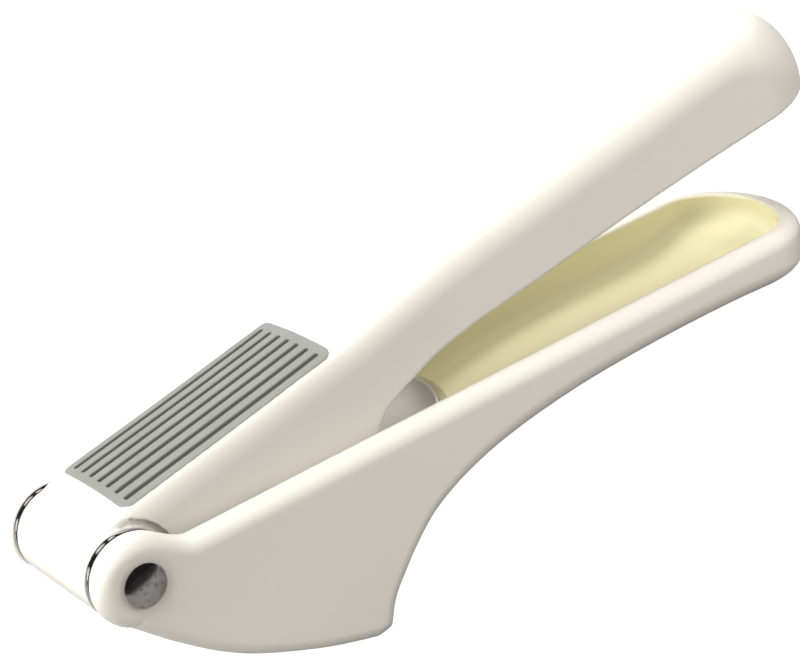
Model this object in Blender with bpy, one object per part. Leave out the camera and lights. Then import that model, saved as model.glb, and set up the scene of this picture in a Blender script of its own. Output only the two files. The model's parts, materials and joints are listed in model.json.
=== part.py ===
"""Garlic press: two moulded handles on a chrome pin, with a steel hopper, sieve and plunger between them.

Everything is drawn in the press frame, in millimetres: the hinge axis is Y through the origin, +X runs
along the flat rim of the lower handle to its tail, and +Z points up out of that rim. One parent empty then
stands the press on its heel and tail, with the middle of the heel's flat at the origin of the world.
"""

import math

import bmesh
import bpy
from mathutils import Matrix, Vector

MM = 0.001
GAP = 0.3  # between pieces that touch

# Hinge
BARREL_RADIUS = 9.0
BARREL_HALF = 14.1
RELIEF_RADIUS = 10.4  # the washers' relief in the lever's sides
RELIEF_HALF = 13.6
EAR_RADIUS = 9.2
EAR_INNER = 16.1
EAR_EDGE = 2.4
WASHER_THICK = 1.5
PIN_RADIUS = 2.5
SLEEVE_RADIUS = 3.6
BORE_CLEARANCE = 0.35
PIN_HEAD_RADIUS = 4.3
PIN_HEAD_HEIGHT = 1.5

# Lower handle
RIM_Z = 3.6
HALF_WIDTH = 20.5
WALL_HALF = 16.1
RIM_ROUND = 3.4
TAIL_REACH = 15.5
TRAY_REACH = 10.8
TRAY_START = 72.0
DAM_THICK = 1.8
TRAY_FILLET = 3.0
SEAT_RADIUS = 9.8
FRONT_TOP_ANGLE = -16.5
REST_POINT = (46.6, -36.0)
TAIL_REST_POINT = (157.0, -7.75)

# The lower handle's underside from the ears to the heel, then from the heel to the tail
FRONT_OUTLINE = [(-3.9, -8.4), (3.4, -15.3), (11.9, -22.2), (20.2, -27.2), (33.5, -33.0), (44.9, -36.6)]
REAR_OUTLINE = [
    (48.6, -35.9), (51.0, -30.4), (54.4, -26.2), (58.6, -21.8), (63.7, -17.6), (69.6, -14.6),
    (76.3, -12.3), (84.6, -10.4), (97.0, -8.6), (110.0, -7.5), (128.0, -7.0), (146.0, -7.2),
    (161.0, -8.0),
]
TRAY_KEEL = [
    (63.7, -15.6), (69.6, -12.6), (76.3, -10.4), (84.6, -8.6), (97.0, -6.8), (110.0, -5.7), (128.0, -5.2),
    (144.0, -5.2), (154.0, -4.6), (161.0, -3.2),
]

# Chamber: a sector round the hinge, whose rear wall flares up to the dam in front of the tray
SIEVE_ANGLE = -35.5
CHAMBER_FRONT = 18.9
CHAMBER_REAR = 56.2
REAR_ROUNDING = 24.0
DAM_Z = 0.8
DAM_X = 77.8
STEEL = 0.5
SIEVE_THICK = 1.0
LIP = 1.8
LEDGE = 2.1
HOLE_RADIUS = 0.95
HOLE_ROWS = 7
HOLE_COLUMNS = 9
HOLE_PITCH = 3.5

# Lever, drawn as it stands half open
OPEN_ABOVE_CLOSED = 7.0
PLUNGER_FACE_ANGLE = SIEVE_ANGLE + 1.3 + OPEN_ABOVE_CLOSED
BELLY_ANGLE = -8.0
LEVER_HALF = 14.7
BELLY_REAR = 55.8
BLOCK_FRONT = 20.3
BLOCK_REAR = 54.4
BLOCK_HALF = 14.3
PLATE_THICK = 0.9
CROWN = 1.0
SHELL = 2.5
RIB = 2.0
RIB_RECESS = 4.0
LEVER_TOP = [
    (-6.6, 6.2), (-4.8, 8.4), (-2.0, 10.3), (1.5, 11.7), (5.0, 12.6), (30.0, 17.6), (52.0, 22.3),
    (62.0, 25.0), (80.0, 30.6), (95.0, 34.5), (118.0, 39.9), (141.0, 45.0), (152.0, 47.1), (160.0, 47.9),
    (167.0, 47.8), (173.0, 46.9), (178.0, 45.2), (182.0, 42.2), (184.8, 38.0), (186.0, 33.0),
]
LEVER_BOTTOM = [
    (-6.6, -2.0), (20.0, -3.0), (55.0, 1.0), (61.0, 5.8), (68.7, 9.4), (75.3, 12.0), (84.6, 14.3),
    (96.8, 16.5), (110.0, 18.8), (130.0, 21.9), (150.0, 24.6), (166.0, 26.5), (176.0, 27.6),
    (186.0, 28.8),
]
PALM_X = 167.0
PALM_END = 186.4
PALM_WIDENING = 1.3
INLAY_TILT = 11.0
INLAY_START = 5.3
INLAY_END = 56.7
INLAY_HALF = 13.0
INLAY_CORNER = 2.4
INLAY_FLOOR = 9.9
GROOVES = 7
GROOVE_PITCH = 3.4
GROOVE_WIDTH = 1.1
GROOVE_FLOOR = 10.8
GROOVE_BORDER = 2.1
SCREW_RADII = (30.0, 45.0)

ROUND = 32


def material(name, colour, roughness, metallic=0.0):
    """A plain surface."""
    made = bpy.data.materials.new(name)
    made.use_nodes = True
    shader = made.node_tree.nodes["Principled BSDF"]
    shader.inputs["Base Color"].default_value = (*colour, 1.0)
    shader.inputs["Roughness"].default_value = roughness
    shader.inputs["Metallic"].default_value = metallic
    return made


def solid(name, build):
    """An object whose mesh build(bm) draws in millimetres."""
    bm = bmesh.new()
    build(bm)
    bmesh.ops.remove_doubles(bm, verts=bm.verts, dist=1e-4)
    bmesh.ops.recalc_face_normals(bm, faces=bm.faces)
    bmesh.ops.scale(bm, vec=(MM, MM, MM), verts=bm.verts)
    mesh = bpy.data.meshes.new(name)
    bm.to_mesh(mesh)
    bm.free()
    made = bpy.data.objects.new(name, mesh)
    bpy.context.scene.collection.objects.link(made)
    return made


def combine(target, tool, operation):
    """Applies one Boolean to target and removes the tool."""
    modifier = target.modifiers.new(operation, "BOOLEAN")
    modifier.operation = operation
    modifier.solver = "EXACT"
    modifier.object = tool
    graph = bpy.context.evaluated_depsgraph_get()
    mesh = bpy.data.meshes.new_from_object(target.evaluated_get(graph), depsgraph=graph)
    target.modifiers.clear()
    target.data = mesh
    bpy.data.objects.remove(tool)
    return target


def cut(target, tool):
    return combine(target, tool, "DIFFERENCE")


def join(target, tool):
    return combine(target, tool, "UNION")


def copied(source, name):
    made = bpy.data.objects.new(name, source.data.copy())
    bpy.context.scene.collection.objects.link(made)
    return made


def polar(radius, degrees):
    """The point (x, z) at a radius and angle about the hinge."""
    angle = math.radians(degrees)
    return (radius * math.cos(angle), radius * math.sin(angle))


def arc(centre, radius, start, end, steps):
    """Points (x, z) on an arc, its angles in degrees."""
    made = []
    for i in range(steps + 1):
        x, z = polar(radius, start + (end - start) * i / steps)
        made.append((centre[0] + x, centre[1] + z))
    return made


def smooth(points, steps=3):
    """A Catmull-Rom curve through the points."""
    padded = [points[0], *points, points[-1]]
    made = []
    for a, b, c, d in zip(padded, padded[1:], padded[2:], padded[3:]):
        for i in range(steps):
            t = i / steps
            weights = (
                (2 * t * t - t - t**3) / 2,
                (2 - 5 * t * t + 3 * t**3) / 2,
                (t + 4 * t * t - 3 * t**3) / 2,
                (t**3 - t * t) / 2,
            )
            made.append(tuple(sum(w * p[axis] for w, p in zip(weights, (a, b, c, d))) for axis in (0, 1)))
    made.append(points[-1])
    return made


def height(curve, x):
    """The height of an outline at x."""
    for (x0, z0), (x1, z1) in zip(curve, curve[1:]):
        if x <= x1:
            return z0 + (z1 - z0) * max(0.0, x - x0) / (x1 - x0)
    return curve[-1][1]


def loft(name, rings):
    """A closed body through rings with equal numbers of points."""

    def build(bm):
        rows = [[bm.verts.new(p) for p in ring] for ring in rings]
        count = len(rows[0])
        for a, b in zip(rows, rows[1:]):
            for i in range(count):
                j = (i + 1) % count
                bm.faces.new((a[i], a[j], b[j], b[i]))
        bm.faces.new(rows[0])
        bm.faces.new(rows[-1])

    return solid(name, build)


def prism(name, outline, start, end):
    """An outline of points (x, z) between two values of y."""
    return loft(name, [[(x, y, z) for x, z in outline] for y in (start, end)])


def rod(name, stations):
    """A round body about the hinge axis, through (y, radius) stations."""
    rings = []
    for y, radius in stations:
        rings.append([(x, y, z) for x, z in arc((0, 0), radius, 0, 360, ROUND)[:-1]])
    return loft(name, rings)


def in_plane(name, angle, outline, low, high):
    """An outline of (u, y) on a plane that holds the hinge axis, between two heights above that plane."""
    along = Vector((math.cos(math.radians(angle)), 0, math.sin(math.radians(angle))))
    up = Vector((-along.z, 0, along.x))
    return loft(name, [[along * u + Vector((0, y, 0)) + up * n for u, y in outline] for n in (low, high)])


def fillet_points(corner, radius, steps=5):
    """A quarter round from the side, down to the underside, that ends radius in from the corner."""
    y, z = corner
    made = []
    for i in range(steps + 1):
        angle = math.pi / 2 * i / steps
        made.append((y - radius + radius * math.cos(angle), z + radius - radius * math.sin(angle)))
    return made


def boat(name, start, spine, half, top, edge, fillet, reach, fan=14):
    """A hull with a flat top: its keel follows spine, and its tail is a half ellipse in plan."""
    stations = [(x, z) for x, z in spine if x >= start]
    if stations[0][0] > start:
        stations.insert(0, (start, height(spine, start)))

    def section(x, keel):
        rim = arc((half - edge, top - edge), edge, 90, 0, 4) if edge else [(half, top)]
        return rim + fillet_points((half, keel), fillet(x)) + [(0.0, keel)]

    columns = [[(x, -y, z) for y, z in section(x, keel)] for x, keel in stations]
    tail_x, tail_keel = stations[-1]
    for i in range(1, fan):
        angle = math.pi * i / fan
        columns.append(
            [
                (tail_x + y / half * reach * math.sin(angle), -y * math.cos(angle), z)
                for y, z in section(tail_x, tail_keel)
            ]
        )
    columns += [[(x, y, z) for y, z in section(x, keel)] for x, keel in reversed(stations)]

    def build(bm):
        rows = [[bm.verts.new(p) for p in column] for column in columns]
        for a, b in zip(rows, rows[1:]):
            for k in range(len(a) - 1):
                bm.faces.new((a[k], a[k + 1], b[k + 1], b[k]))
        bm.faces.new([row[0] for row in rows])
        bm.faces.new([*rows[0], *reversed(rows[-1][:-1])])
        bmesh.ops.remove_doubles(bm, verts=bm.verts, dist=1e-4)
        bmesh.ops.dissolve_degenerate(bm, dist=1e-4, edges=bm.edges)

    return solid(name, build)


def bulge(y):
    """How far the chamber's rounded rear wall comes forward at y."""
    return REAR_ROUNDING - math.sqrt(REAR_ROUNDING**2 - y * y)


def chamber(name, inset, half, top, floor):
    """The chamber's space, inset from the moulding's walls: floor is its height above the sieve's plane."""
    angle = math.radians(SIEVE_ANGLE)
    down = (-math.sin(angle) * floor, math.cos(angle) * floor)
    rear_foot = polar(CHAMBER_REAR - inset, SIEVE_ANGLE)
    rear = smooth(
        [
            rear_foot,
            polar(CHAMBER_REAR + 0.3 - inset, -28.5),
            (59.6 - inset, -17.0),
            (68.6 - inset, -9.5),
            (75.6 - inset, -4.0),
            (DAM_X - inset, DAM_Z + 0.8),
        ]
    )
    front = arc((0, 0), CHAMBER_FRONT + inset, FRONT_TOP_ANGLE + 3, SIEVE_ANGLE, 6)
    foot = [(x + down[0], z + down[1]) for x, z in (front[-1], rear_foot)]
    outline_front = [(front[0][0], top), *front, foot[0]]
    outline_rear = [foot[1], *rear, (rear[-1][0], top)]
    steps = 12
    rings = []
    for i in range(steps + 1):
        y = half * math.cos(math.pi * i / steps)
        rings.append([(x, y, z) for x, z in outline_front] + [(x - bulge(y), y, z) for x, z in outline_rear])
    return loft(name, rings)


def floor_outline(front, rear, half, steps=12):
    """The chamber's plan on a plane that holds the hinge axis: straight in front and rounded behind."""
    ys = [half * math.cos(math.pi * i / steps) for i in range(steps + 1)]
    return [(front, half), (front, -half)] + [(rear - bulge(y), y) for y in reversed(ys)]


def dam_block():
    """What the tray's space leaves standing in front of it: the rounded wall behind the hopper."""
    steps = 12
    plan = [(DAM_X - 20, -30.0)]
    for i in range(steps + 1):
        y = -WALL_HALF * math.cos(math.pi * i / steps)
        plan.append((DAM_X + DAM_THICK - bulge(y), y))
    plan.append((DAM_X - 20, 30.0))
    return loft("dam", [[(x, y, z) for x, y in plan] for z in (-30.0, 30.0)])


def lower_fillet(x):
    """The radius along the lower handle's bottom edges: tighter at the hopper than under the handle."""
    return 3.0 + 1.5 * min(1.0, max(0.0, (x - 52.0) / 40.0))


def make_lower_body():
    spine = smooth(FRONT_OUTLINE) + smooth(REAR_OUTLINE)
    body = boat("lower_body", spine[0][0], spine, HALF_WIDTH, RIM_Z, RIM_ROUND, lower_fillet, TAIL_REACH)
    for side in (-1, 1):
        stations = [
            (EAR_INNER - 0.5, EAR_RADIUS),
            (HALF_WIDTH - EAR_EDGE, EAR_RADIUS),
            (HALF_WIDTH - 0.9, EAR_RADIUS - 0.55),
            (HALF_WIDTH - 0.25, EAR_RADIUS - 1.4),
            (HALF_WIDTH + 0.1, EAR_RADIUS - EAR_EDGE),
        ]
        join(body, rod("ear", [(side * y, radius) for y, radius in stations]))
    # The barrel's seat, and the space above the front wall where the lever's root swings
    cut(body, rod("seat", [(-WALL_HALF, SEAT_RADIUS), (WALL_HALF, SEAT_RADIUS)]))
    near = polar(SEAT_RADIUS - 1, FRONT_TOP_ANGLE)
    far = polar(CHAMBER_FRONT + 4, FRONT_TOP_ANGLE)
    swing = [(-14.0, 14.0), (-14.0, -7.5), (0.0, -7.5), near, far, (far[0], 14.0)]
    cut(body, prism("swing", swing, -WALL_HALF, WALL_HALF))
    cut(body, chamber("hollow", 0.0, WALL_HALF, 14.0, -LEDGE))
    cut(body, in_plane("outlet", SIEVE_ANGLE, floor_outline(21.4, 53.6, 13.9), -30.0, 1.0))
    keel = smooth(TRAY_KEEL)
    tray = boat("tray", TRAY_START, keel, WALL_HALF, RIM_Z + 5, 0.0, lambda x: TRAY_FILLET, TRAY_REACH)
    cut(tray, dam_block())
    cut(body, tray)
    over = [(DAM_X - 12, DAM_Z), (DAM_X + 4, DAM_Z), (DAM_X + 4, 14.0), (DAM_X - 12, 14.0)]
    cut(body, prism("over_dam", over, -WALL_HALF, WALL_HALF))
    cut(body, rod("bore", [(-30.0, PIN_RADIUS + BORE_CLEARANCE), (30.0, PIN_RADIUS + BORE_CLEARANCE)]))
    low, high = REST_POINT, TAIL_REST_POINT
    slope = (high[1] - low[1]) / (high[0] - low[0])
    ground = [(x, low[1] + slope * (x - low[0])) for x in (0.0, 200.0)]
    cut(body, prism("ground", [*ground, (200.0, -60.0), (0.0, -60.0)], -40.0, 40.0))
    return body


def lever_half(x):
    """The lever's half-width, which grows a little behind the hopper."""
    share = min(1.0, max(0.0, (x - 70.0) / 45.0))
    return LEVER_HALF + PALM_WIDENING * share * share * (3 - 2 * share)


def lever_fillet(x):
    """How far the round between the lever's top and its sides reaches: inwards, and down."""
    share = min(1.0, max(0.0, (x - 45.0) / 90.0))
    return 2.4 + 4.8 * share, 5.0 + 3.0 * share


def palm_share(x):
    """The lever's plan half-width as a share of its full one."""
    if x <= PALM_X:
        return 1.0
    return math.sqrt(max(0.0, 1.0 - ((x - PALM_X) / (PALM_END - PALM_X)) ** 2))


def lever_ring(x, top, bottom, half, fillet, crown):
    """The lever's section at x: flat sides, rounded shoulders and a crowned top."""
    across = min(fillet[0], 0.8 * half)
    down = min(fillet[1], 0.6 * (top - bottom))
    shoulder = half - across
    drop = min(crown * (shoulder / half) ** 2, 0.2 * (top - bottom))
    points = [(0.0, bottom), (half, bottom)]
    for i in range(6):
        angle = math.pi / 2 * i / 5
        y = shoulder + across * math.cos(angle)
        points.append((y, top - drop - down + down * math.sin(angle)))
    points.append((0.5 * shoulder, top - 0.25 * drop))
    points.append((0.0, top))
    points += [(-y, z) for y, z in reversed(points[1:-1])]
    return [(x, y, z) for y, z in points]


def lever_rings(start, end, inset, drop):
    """Sections of the lever's outside, or of its hollow when inset is the wall's thickness."""
    top, bottom = smooth(LEVER_TOP), smooth(LEVER_BOTTOM)
    stations = sorted({round(x, 3) for x, z in top + bottom if start < x < end} | {start, end})
    stations = [x for i, x in enumerate(stations) if i in (0, len(stations) - 1) or x - stations[i - 1] > 0.8]
    rings = []
    for x in stations:
        half = lever_half(x) * palm_share(min(x + inset, PALM_END - 0.4)) - inset
        across, down = lever_fillet(x)
        fillet = (max(1.0, across - 0.6 * inset), down - 0.6 * inset)
        rings.append(lever_ring(x, height(top, x) - inset, height(bottom, x) - drop, half, fillet, CROWN))
    return rings


def rounded_rectangle(start, end, half, corner, steps=5):
    """An outline (u, y) with rounded corners."""
    made = []
    for u, y, first in (
        (end - corner, half - corner, 0),
        (start + corner, half - corner, 90),
        (start + corner, corner - half, 180),
        (end - corner, corner - half, 270),
    ):
        made += arc((u, y), corner, first, first + 90, steps)
    return made


def make_upper_handle():
    """The lever and, from its solid before the recess is cut, the grip inlay."""
    lever = loft("upper_handle", lever_rings(-6.6, 186.0, 0.0, 0.0))
    belly_rear = smooth([polar(BELLY_REAR, BELLY_ANGLE), (56.6, -2.0), (59.2, 3.6), (62.0, 6.6)])
    belly = [(4.0, 6.0), polar(8.0, BELLY_ANGLE - 4), *belly_rear, (62.0, 12.0), (40.0, 16.0)]
    join(lever, prism("belly", belly, -LEVER_HALF, LEVER_HALF))
    for side in (-1, 1):
        faces = (side * RELIEF_HALF, side * (RELIEF_HALF + 3))
        cut(lever, rod("relief", [(y, RELIEF_RADIUS) for y in faces]))
    join(lever, rod("barrel", [(-BARREL_HALF, BARREL_RADIUS), (BARREL_HALF, BARREL_RADIUS)]))
    below = polar(BELLY_REAR + 8, BELLY_ANGLE)
    root = [polar(BARREL_RADIUS + 0.2, BELLY_ANGLE), below, (below[0], -20.0), (9.6, -20.0)]
    cut(lever, prism("under_belly", root, -20.0, 20.0))
    whole = copied(lever, "grip_inlay")

    recess = rounded_rectangle(INLAY_START, INLAY_END, INLAY_HALF, INLAY_CORNER)
    cut(lever, in_plane("recess", INLAY_TILT, recess, INLAY_FLOOR, 20.0))
    pad = rounded_rectangle(INLAY_START + GAP, INLAY_END - GAP, INLAY_HALF - GAP, INLAY_CORNER - GAP)
    inlay = combine(whole, in_plane("pad", INLAY_TILT, pad, INLAY_FLOOR + GAP, 20.0), "INTERSECT")
    for i in range(GROOVES):
        y = GROOVE_PITCH * (i - (GROOVES - 1) / 2)
        length = (INLAY_START + GROOVE_BORDER, INLAY_END - GROOVE_BORDER)
        side = GROOVE_WIDTH / 2
        lane = [(length[0], y - side), (length[1], y - side), (length[1], y + side), (length[0], y + side)]
        cut(inlay, in_plane("groove", INLAY_TILT, lane, GROOVE_FLOOR, 20.0))

    # The hollow underside: a shallow run along the whole handle, and deep pockets between cross ribs
    cut(lever, loft("hollow", shallow_rings()))
    edges = [64.0, 90.0, 117.0, 144.0, 182.5]
    for start, end in zip(edges, edges[1:]):
        cut(lever, loft("pocket", lever_rings(start + RIB / 2, end - RIB / 2, SHELL, 12.0)))
    # Cored pockets over the plunger, either side of the web that its screws bite in
    core = [polar(24.0, BELLY_ANGLE - 3), polar(52.0, BELLY_ANGLE - 3), (51.5, 17.5), (24.0, 12.0)]
    for side in (-1, 1):
        cut(lever, prism("core", core, side * 4.5, side * (LEVER_HALF - SHELL)))
    for radius in SCREW_RADII:
        cut(lever, screw_hole(radius, 1.6))
    cut(lever, rod("bore", [(-30.0, SLEEVE_RADIUS + BORE_CLEARANCE), (30.0, SLEEVE_RADIUS + BORE_CLEARANCE)]))
    return lever, inlay


def shallow_rings():
    """The open run under the ribs, RIB_RECESS deep."""
    bottom = smooth(LEVER_BOTTOM)
    rings = []
    for i in range(25):
        x = 65.0 + (181.0 - 65.0) * i / 24
        half = lever_half(x) * palm_share(x + SHELL) - SHELL
        low, high = height(bottom, x) - 12.0, height(bottom, x) + RIB_RECESS
        rings.append([(x, -half, low), (x, half, low), (x, half, high), (x, -half, high)])
    return rings


def screw_axis(radius):
    """Where a plunger screw crosses the plunger's face, and its direction into the lever."""
    angle = math.radians(PLUNGER_FACE_ANGLE)
    point = Vector((radius * math.cos(angle), 0, radius * math.sin(angle)))
    return point, Vector((-math.sin(angle), 0, math.cos(angle)))


def along_screw(name, radius, stations):
    """A round body on a plunger screw's axis, through (distance, radius) stations."""
    point, up = screw_axis(radius)
    side, across = Vector((0, 1, 0)), Vector((0, 1, 0)).cross(up)
    rings = []
    for distance, r in stations:
        turn = [2 * math.pi * i / 16 for i in range(16)]
        rings.append([point + up * distance + (side * math.cos(a) + across * math.sin(a)) * r for a in turn])
    return loft(name, rings)


def screw_hole(radius, half):
    return along_screw("hole", radius, [(-3.0, half), (23.0, half)])


def make_plunger():
    """The block under the lever's belly, and the steel plate on its face."""
    outline = floor_outline(BLOCK_FRONT, BLOCK_REAR, BLOCK_HALF)
    rings = []
    steps = 6
    top, bottom = BELLY_ANGLE - 0.5, PLUNGER_FACE_ANGLE + 1.4
    for i in range(steps + 1):
        angle = math.radians(top + (bottom - top) * i / steps)
        rings.append([(u * math.cos(angle), y, u * math.sin(angle)) for u, y in outline])
    block = loft("plunger_block", rings)
    plate = in_plane("plunger_plate", PLUNGER_FACE_ANGLE, floor_outline(20.6, 54.2, 14.1), 0.0, PLATE_THICK)
    for radius in SCREW_RADII:
        cut(block, screw_hole(radius, 1.6))
        cut(plate, along_screw("seat", radius, [(-1.0, 2.9), (0.4, 2.9), (2.0, 1.6)]))
    # Room for the plate's underside where the block's last ring is closer to the hinge's plane
    room = [(10, -20), (70, -20), (70, 20), (10, 20)]
    cut(block, in_plane("plate_room", PLUNGER_FACE_ANGLE, room, -6, PLATE_THICK + GAP))
    return block, plate


def make_plunger_screw(name, radius):
    return along_screw(name, radius, [(0.2, 2.4), (0.4, 2.4), (1.1, 1.2), (21.0, 1.2), (22.0, 0.5)])


def make_hopper():
    """The steel tub: a thin wall round the chamber, with a lip turned in under the sieve."""
    tub = chamber("hopper_basket", GAP, WALL_HALF - GAP, DAM_Z + 0.8, -LIP)
    trim_front(tub)
    space = chamber("space", GAP + STEEL, WALL_HALF - GAP - STEEL, 14.0, -LIP + STEEL)
    cut(tub, space)
    cut(tub, in_plane("lip_hole", SIEVE_ANGLE, floor_outline(21.6, 53.4, 13.7), -10.0, 1.0))
    return tub


def trim_front(tub):
    """Trims the tub's front down to the moulding's front wall, below the lever's root."""
    near, far = polar(CHAMBER_FRONT - 4, FRONT_TOP_ANGLE - 0.5), polar(24.5, FRONT_TOP_ANGLE - 0.5)
    outline = [near, far, (30.0, -1.5), (40.0, 6.0), (near[0], 6.0)]
    cut(tub, prism("front_trim", outline, -20.0, 20.0))


def make_sieve():
    outline = floor_outline(CHAMBER_FRONT + 1.2, CHAMBER_REAR - 1.2, WALL_HALF - 1.2)
    plate = in_plane("sieve_plate", SIEVE_ANGLE, outline, -SIEVE_THICK, 0.0)
    along = Vector((math.cos(math.radians(SIEVE_ANGLE)), 0, math.sin(math.radians(SIEVE_ANGLE))))
    up = Vector((-along.z, 0, along.x))

    def build(bm):
        for row in range(HOLE_ROWS):
            y = HOLE_PITCH * (row - (HOLE_ROWS - 1) / 2)
            shift = HOLE_PITCH / 2 if row % 2 else 0.0
            for column in range(HOLE_COLUMNS):
                u = 23.6 + shift + HOLE_PITCH * column
                if u + HOLE_RADIUS > 53.0 - bulge(y):
                    continue
                rings = []
                for n in (-2.0, 1.0):
                    ring = []
                    for i in range(8):
                        angle = math.pi * (i + 0.5) / 4
                        at = along * (u + HOLE_RADIUS * math.cos(angle)) + up * n
                        ring.append(bm.verts.new((at.x, y + HOLE_RADIUS * math.sin(angle), at.z)))
                    rings.append(ring)
                for i in range(8):
                    j = (i + 1) % 8
                    bm.faces.new((rings[0][i], rings[0][j], rings[1][j], rings[1][i]))
                bm.faces.new(rings[0])
                bm.faces.new(rings[1])

    return cut(plate, solid("holes", build))


def ring_of(name, low, high, inner, outer):
    """A flat ring about the hinge axis."""
    made = rod(name, [(low, outer), (high, outer)])
    return cut(made, rod("hole", [(low - 5, inner), (high + 5, inner)]))


def make_pin():
    """The pin: a domed head outside the near ear, and a shank that ends short of the far cap."""
    face = -(HALF_WIDTH + 0.1 + GAP)
    dome = []
    for i in range(5):
        angle = math.pi / 2 * (0.12 + 0.88 * i / 5)
        dome.append((face - PIN_HEAD_HEIGHT * math.sin(angle), PIN_HEAD_RADIUS * math.cos(angle) + 0.15))
    head = [*reversed(dome), (face - 0.2, PIN_HEAD_RADIUS), (face, PIN_HEAD_RADIUS - 0.2)]
    return rod("hinge_pin", [*head, (face + 0.1, PIN_RADIUS), (HALF_WIDTH - 3.0, PIN_RADIUS)])


def make_pin_cap():
    """The domed nut that closes the pin on the far ear."""
    face = HALF_WIDTH + 0.1 + GAP
    stations = [(HALF_WIDTH - 2.6, PIN_RADIUS), (face - 0.1, PIN_RADIUS), (face, PIN_HEAD_RADIUS - 0.2)]
    for i in range(5):
        angle = math.pi / 2 * (0.12 + 0.88 * i / 5)
        stations.append((face + PIN_HEAD_HEIGHT * math.sin(angle), PIN_HEAD_RADIUS * math.cos(angle) + 0.15))
    return rod("hinge_pin_cap", stations)


def finish(piece, parent, surface):
    """Gives a piece its surface and its place in the standing press."""
    piece.data.materials.clear()
    piece.data.materials.append(surface)
    piece.data.shade_smooth()
    piece.data.set_sharp_from_angle(angle=math.radians(35))
    piece.parent = parent


def empty(name, parent=None):
    made = bpy.data.objects.new(name, None)
    made.parent = parent
    bpy.context.scene.collection.objects.link(made)
    return made


def main():
    for old in list(bpy.data.objects):
        bpy.data.objects.remove(old)

    ivory = material("ivory_plastic", (0.80, 0.77, 0.68), 0.28)
    grey = material("grey_soft_grip", (0.46, 0.46, 0.43), 0.6)
    chrome = material("chrome", (0.78, 0.78, 0.8), 0.08, 1.0)
    steel = material("brushed_steel", (0.62, 0.61, 0.6), 0.25, 1.0)
    acetal = material("acetal", (0.75, 0.75, 0.72), 0.4)

    tilt = math.atan2(TAIL_REST_POINT[1] - REST_POINT[1], TAIL_REST_POINT[0] - REST_POINT[0])
    press = empty("press_frame")
    turn = Matrix.Rotation(tilt, 4, "Y")
    press.matrix_world = turn @ Matrix.Translation(Vector((-REST_POINT[0], 0, -REST_POINT[1])) * MM)
    hinge = empty("hinge_axis", press)

    finish(make_lower_body(), press, ivory)
    finish(make_hopper(), press, steel)
    finish(make_sieve(), press, steel)
    finish(make_pin(), press, chrome)
    finish(make_pin_cap(), press, chrome)
    for name, side in (("hinge_washer_near", -1), ("hinge_washer_far", 1)):
        low = BARREL_HALF + 0.2
        faces = sorted((side * low, side * (low + WASHER_THICK)))
        finish(ring_of(name, *faces, PIN_RADIUS + BORE_CLEARANCE, BARREL_RADIUS - 0.1), press, chrome)

    lever, inlay = make_upper_handle()
    finish(lever, hinge, ivory)
    finish(inlay, hinge, grey)
    sleeve = ring_of("hinge_sleeve", -BARREL_HALF, BARREL_HALF, PIN_RADIUS + BORE_CLEARANCE, SLEEVE_RADIUS)
    finish(sleeve, hinge, acetal)
    block, plate = make_plunger()
    finish(block, hinge, ivory)
    finish(plate, hinge, steel)
    for name, radius in zip(("plunger_screw_front", "plunger_screw_rear"), SCREW_RADII):
        finish(make_plunger_screw(name, radius), hinge, steel)


main()
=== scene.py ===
"""The looks of a garlic press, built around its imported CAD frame.

Shapes are drawn in the press frame, in millimetres: the hinge axis is Y through the origin, +X runs along
the lower handle's rim to its tail, and +Z points up out of the rim. The two big mouldings are level
surfaces of signed distances, so that every edge has its moulded round. The rest is lofted and turned.
"""

import json
import math

import bmesh
import bpy
import numpy as np
from mathutils import Matrix, Vector

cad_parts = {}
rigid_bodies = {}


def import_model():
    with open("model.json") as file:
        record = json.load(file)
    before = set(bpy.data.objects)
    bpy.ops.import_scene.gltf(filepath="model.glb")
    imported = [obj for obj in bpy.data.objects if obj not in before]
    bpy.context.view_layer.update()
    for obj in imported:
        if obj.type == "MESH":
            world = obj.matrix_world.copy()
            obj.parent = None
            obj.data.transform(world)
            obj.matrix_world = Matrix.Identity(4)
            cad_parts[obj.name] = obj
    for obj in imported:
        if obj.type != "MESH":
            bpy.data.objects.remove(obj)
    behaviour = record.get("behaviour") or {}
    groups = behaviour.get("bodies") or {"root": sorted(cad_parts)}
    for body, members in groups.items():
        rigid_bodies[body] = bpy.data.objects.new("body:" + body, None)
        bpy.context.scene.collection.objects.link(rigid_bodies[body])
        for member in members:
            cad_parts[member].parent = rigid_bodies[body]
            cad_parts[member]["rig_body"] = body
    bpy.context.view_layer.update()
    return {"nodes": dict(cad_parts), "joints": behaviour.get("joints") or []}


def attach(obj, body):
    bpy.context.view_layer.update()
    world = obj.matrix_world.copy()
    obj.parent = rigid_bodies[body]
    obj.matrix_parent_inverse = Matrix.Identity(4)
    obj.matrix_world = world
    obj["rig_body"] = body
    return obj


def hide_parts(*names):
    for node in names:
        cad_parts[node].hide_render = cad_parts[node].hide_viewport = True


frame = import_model()

MM = 0.001
COARSE = 1.0  # a coarser grid while trying things

# The press stands on its heel and its tail
REST_POINT = (46.6, -36.0)
TAIL_REST_POINT = (157.0, -7.75)
TILT = math.atan2(TAIL_REST_POINT[1] - REST_POINT[1], TAIL_REST_POINT[0] - REST_POINT[0])
HINGE = Vector(frame["joints"][0]["pos_m"])
PRESS = Matrix.Translation(HINGE) @ Matrix.Rotation(TILT, 4, "Y") @ Matrix.Scale(MM, 4)

# Hinge
BARREL_RADIUS = 9.0
BARREL_HALF = 14.1
RELIEF_RADIUS = 10.4
RELIEF_HALF = 13.6
EAR_RADIUS = 9.2
PIN_RADIUS = 2.5
SLEEVE_RADIUS = 3.6
BORE_CLEARANCE = 0.35
PIN_HEAD_RADIUS = 4.3
PIN_HEAD_HEIGHT = 1.5
PIN_HEAD_PLAY = 0.1
WASHER_THICK = 1.5
WASHER_PLAY = 0.2

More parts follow.
